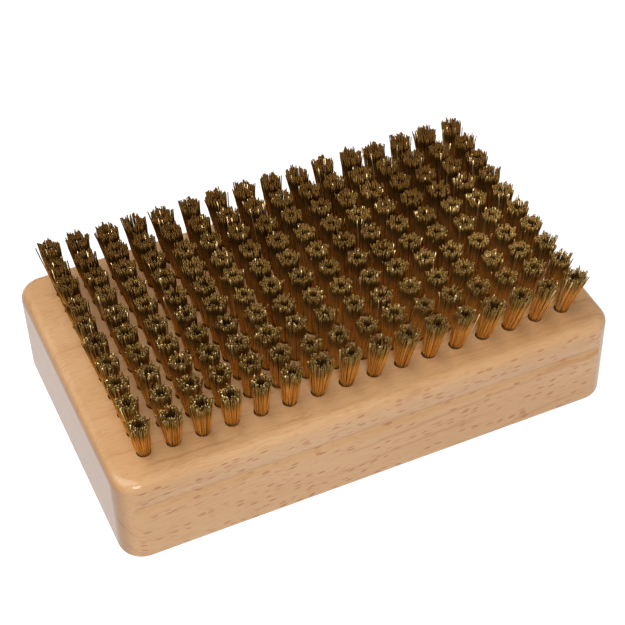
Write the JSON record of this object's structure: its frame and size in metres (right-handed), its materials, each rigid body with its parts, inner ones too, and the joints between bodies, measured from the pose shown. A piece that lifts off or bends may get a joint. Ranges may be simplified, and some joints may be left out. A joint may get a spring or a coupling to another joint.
{
  "type": "wire brush",
  "caption": "Hand block wire brush: rounded rectangular wooden block with finger grooves along both long sides and a grid of spreading brass wire tufts held by hidden anchors.",
  "frame": {"origin": "centre of the block's flat back, at the level that the brush rests on", "axes": "+Z out of the wired face towards the wire tips, +X along the block's length, +Y across its width"},
  "size_m": [0.125, 0.075, 0.0385],
  "materials": {
    "wood": "clear satin lacquer on beech",
    "wire": "drawn brass wire, slightly darkened",
    "anchor_steel": "plain flat steel wire"
  },
  "bodies": {
    "root": {"block": "wood", "tuft_row_01": "wire", "tuft_row_02": "wire", "tuft_row_03": "wire", "tuft_row_04": "wire", "tuft_row_05": "wire", "tuft_row_06": "wire", "tuft_row_07": "wire", "tuft_row_08": "wire", "tuft_row_09": "wire", "tuft_row_10": "wire", "tuft_row_11": "wire", "tuft_row_12": "wire", "tuft_row_13": "wire", "tuft_row_14": "wire", "tuft_row_15": "wire", "tuft_row_16": "wire", "anchor_row_01": "anchor_steel", "anchor_row_02": "anchor_steel", "anchor_row_03": "anchor_steel", "anchor_row_04": "anchor_steel", "anchor_row_05": "anchor_steel", "anchor_row_06": "anchor_steel", "anchor_row_07": "anchor_steel", "anchor_row_08": "anchor_steel", "anchor_row_09": "anchor_steel", "anchor_row_10": "anchor_steel", "anchor_row_11": "anchor_steel", "anchor_row_12": "anchor_steel", "anchor_row_13": "anchor_steel", "anchor_row_14": "anchor_steel", "anchor_row_15": "anchor_steel", "anchor_row_16": "anchor_steel"}
  },
  "joints": []
}
